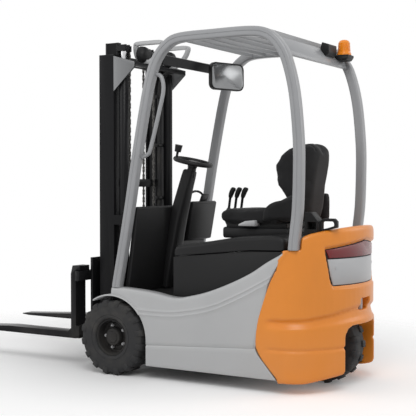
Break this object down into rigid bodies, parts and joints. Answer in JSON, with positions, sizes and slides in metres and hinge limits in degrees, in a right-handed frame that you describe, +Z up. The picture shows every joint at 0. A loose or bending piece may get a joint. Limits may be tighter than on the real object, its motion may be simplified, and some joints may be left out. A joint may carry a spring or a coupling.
{
  "type": "counterbalance forklift truck",
  "caption": "Three-wheel electric counterbalance forklift with a telescopic mast, forks, overhead guard, seat on a hinged hood and a rounded counterweight.",
  "frame": {"origin": "middle of the footprint on the floor", "axes": "+X forward towards the fork tips, +Y to the driver's left, +Z up"},
  "size_m": [2.835, 0.99, 2.0522],
  "materials": {
    "body_grey": "semi-gloss silver-grey paint",
    "orange": "semi-gloss orange paint",
    "black_steel": "satin black paint",
    "frame_black": "matt black paint",
    "black_plastic": "grained black plastic",
    "seat_fabric": "black seat cloth",
    "tyre": "black solid tyre rubber",
    "chrome_rod": "hard chrome",
    "chain_steel": "oiled steel",
    "silver_plate": "brushed bare plate",
    "red_strip": "dark red gloss",
    "amber": "amber lens",
    "mirror": "mirror",
    "pin_steel": "zinc plated",
    "battery_case": "dark case"
  },
  "bodies": {
    "chassis": {"chassis_frame": "frame_black", "front_axle": "frame_black", "side_panel_left": "body_grey", "side_panel_right": "body_grey", "floor_plate": "black_plastic", "dash": "black_plastic", "steering_column": "black_plastic", "battery": "battery_case", "battery_covers": "black_plastic", "counterweight": "orange", "tail_plate": "silver_plate", "tail_lamp": "red_strip", "tow_pin": "pin_steel", "battery_plug": "black_plastic", "guard_left": "body_grey", "guard_right": "body_grey", "roof_front_beam": "black_steel", "roof": "body_grey", "mirror_housing": "black_plastic", "mirror_glass": "mirror", "beacon_base": "black_plastic", "beacon_lens": "amber"},
    "hood": {"hood_lid": "black_plastic", "seat_base": "black_plastic", "seat_cushion": "seat_fabric", "seat_back": "seat_fabric", "lever_console": "black_plastic"},
    "steering_wheel": {"steering_wheel": "black_plastic"},
    "turret": {"drive_turret": "frame_black"},
    "drive_wheel": {"drive_tyre": "tyre", "drive_rim": "black_steel"},
    "left_wheel": {"front_tyre_left": "tyre", "front_rim_left": "black_steel"},
    "right_wheel": {"front_tyre_right": "tyre", "front_rim_right": "black_steel"},
    "outer_mast": {"outer_mast": "black_steel", "lift_barrels": "black_steel", "mast_lamps": "body_grey", "chain_back": "chain_steel"},
    "inner_mast": {"inner_mast": "black_steel", "lift_rods": "chrome_rod", "chain_front": "chain_steel"},
    "carriage": {"carriage": "black_steel"},
    "fork_left": {"fork_left": "black_steel"},
    "fork_right": {"fork_right": "black_steel"},
    "tilt_barrels": {"tilt_barrels": "black_steel"},
    "tilt_rods": {"tilt_rods": "chrome_rod"}
  },
  "joints": [
    {"name": "left_wheel_spin", "type": "hinge", "parent": "chassis", "child": "left_wheel", "pos_m": [0.0325, 0.406, 0.2285], "axis": [0, 1, 0], "continuous": true},
    {"name": "right_wheel_spin", "type": "hinge", "parent": "chassis", "child": "right_wheel", "pos_m": [0.0325, -0.406, 0.2285], "axis": [0, 1, 0], "continuous": true},
    {"name": "drive_steer", "type": "hinge", "parent": "chassis", "child": "turret", "pos_m": [-1.1575, 0, 0.2285], "axis": [0, 0, 1], "range_deg": [-90, 90]},
    {"name": "drive_wheel_spin", "type": "hinge", "parent": "turret", "child": "drive_wheel", "pos_m": [-1.1575, 0, 0.2285], "axis": [0, 1, 0], "continuous": true},
    {"name": "steering_wheel_turn", "type": "hinge", "parent": "chassis", "child": "steering_wheel", "pos_m": [-0.2525, 0, 1.292], "axis": [-0.225, 0, 0.9744], "range_deg": [-721, 721]},
    {"name": "mast_tilt", "type": "hinge", "parent": "chassis", "child": "outer_mast", "pos_m": [0.0325, 0, 0.2285], "axis": [0, 1, 0], "range_deg": [-5, 3]},
    {"name": "tilt_barrel_swing", "type": "hinge", "parent": "chassis", "child": "tilt_barrels", "pos_m": [-0.2975, 0, 0.418], "axis": [0, 1, 0], "range_deg": [-0.11, 0.18]},
    {"name": "tilt_rod_slide", "type": "slide", "parent": "tilt_barrels", "child": "tilt_rods", "axis": [0.9985, 0, 0.0551], "range_m": [-0.0185, 0.0112]},
    {"name": "mast_lift", "type": "slide", "parent": "outer_mast", "child": "inner_mast", "axis": [0, 0, 1], "range_m": [-0.085, 1.4], "deforming": ["chain_back"]},
    {"name": "carriage_lift", "type": "slide", "parent": "inner_mast", "child": "carriage", "axis": [0, 0, 1], "range_m": [-0.085, 1.4], "deforming": ["chain_front"]},
    {"name": "fork_left_shift", "type": "slide", "parent": "carriage", "child": "fork_left", "axis": [0, -1, 0], "range_m": [0, 0.2]},
    {"name": "fork_right_shift", "type": "slide", "parent": "carriage", "child": "fork_right", "axis": [0, 1, 0], "range_m": [0, 0.2]},
    {"name": "hood_open", "type": "hinge", "parent": "chassis", "child": "hood", "pos_m": [-1.11605, 0, 0.806], "axis": [0, -1, 0], "range_deg": [0, 45]}
  ],
  "couplings": [
    {"joint": "carriage_lift", "follows": "mast_lift", "ratio": 1},
    {"joint": "steering_wheel_turn", "follows": "drive_steer", "ratio": -8},
    {"joint": "tilt_barrel_swing", "follows": "mast_tilt", "ratio": -0.0343},
    {"joint": "tilt_rod_slide", "follows": "mast_tilt", "m_per_rad": 0.2074}
  ]
}
